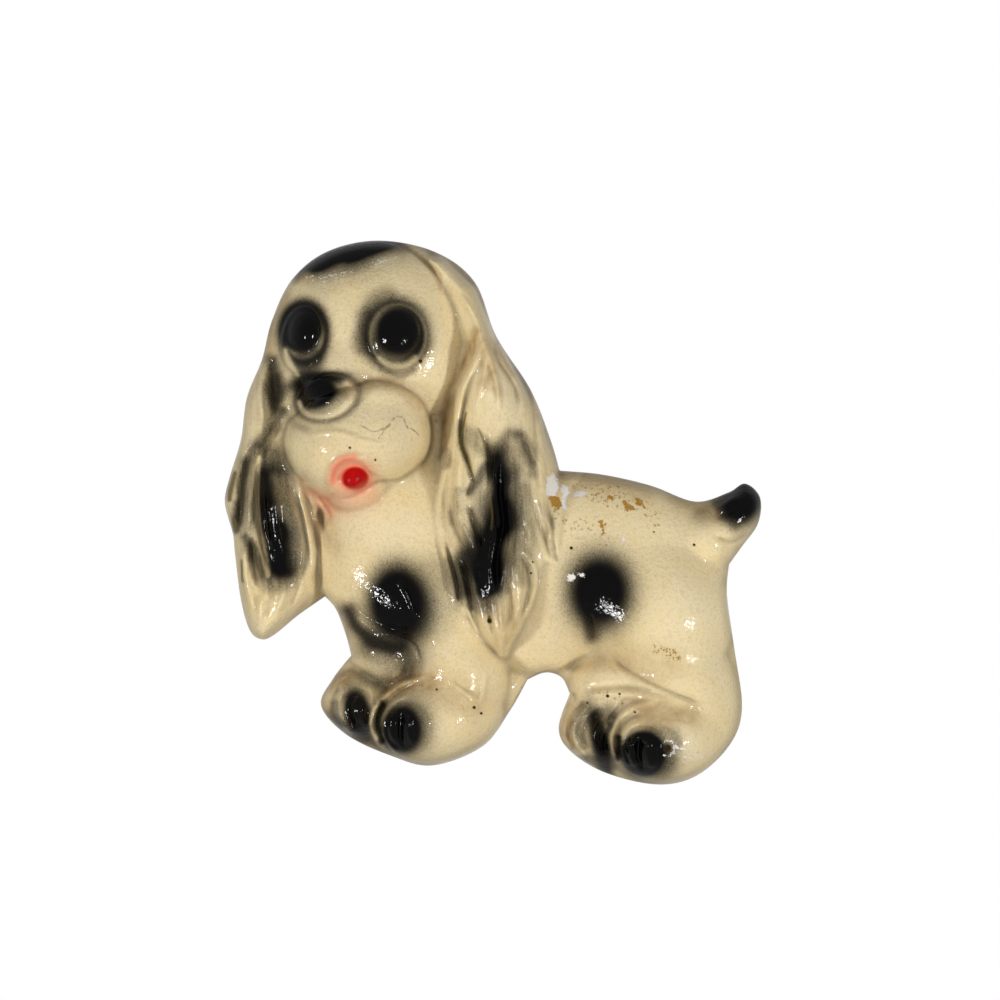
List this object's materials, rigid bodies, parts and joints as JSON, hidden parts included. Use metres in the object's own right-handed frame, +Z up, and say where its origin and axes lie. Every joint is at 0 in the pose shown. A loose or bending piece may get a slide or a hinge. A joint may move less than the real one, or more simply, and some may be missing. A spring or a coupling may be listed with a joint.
{
  "type": "chalkware wall plaque figure",
  "caption": "Half-relief plaster spaniel puppy with long ears and an upturned tail, flat at the back, hung on a wall nail by a bent wire set in a pocket.",
  "frame": {"origin": "the point on the wall plane where the nail carries the hanger wire, behind the head", "axes": "+Z up the wall, +Y into the wall, the dog looks out along -Y; +X is to the right as it is seen"},
  "size_m": [0.1902, 0.046, 0.1929],
  "materials": {
    "painted_plaster": "plaster of Paris, painted cream and airbrushed black, tan and red, under a clear gloss varnish",
    "hanger_steel": "galvanised soft wire, dull"
  },
  "bodies": {
    "root": {"plaster_casting": "painted_plaster", "hanger_wire": "hanger_steel"}
  },
  "joints": []
}
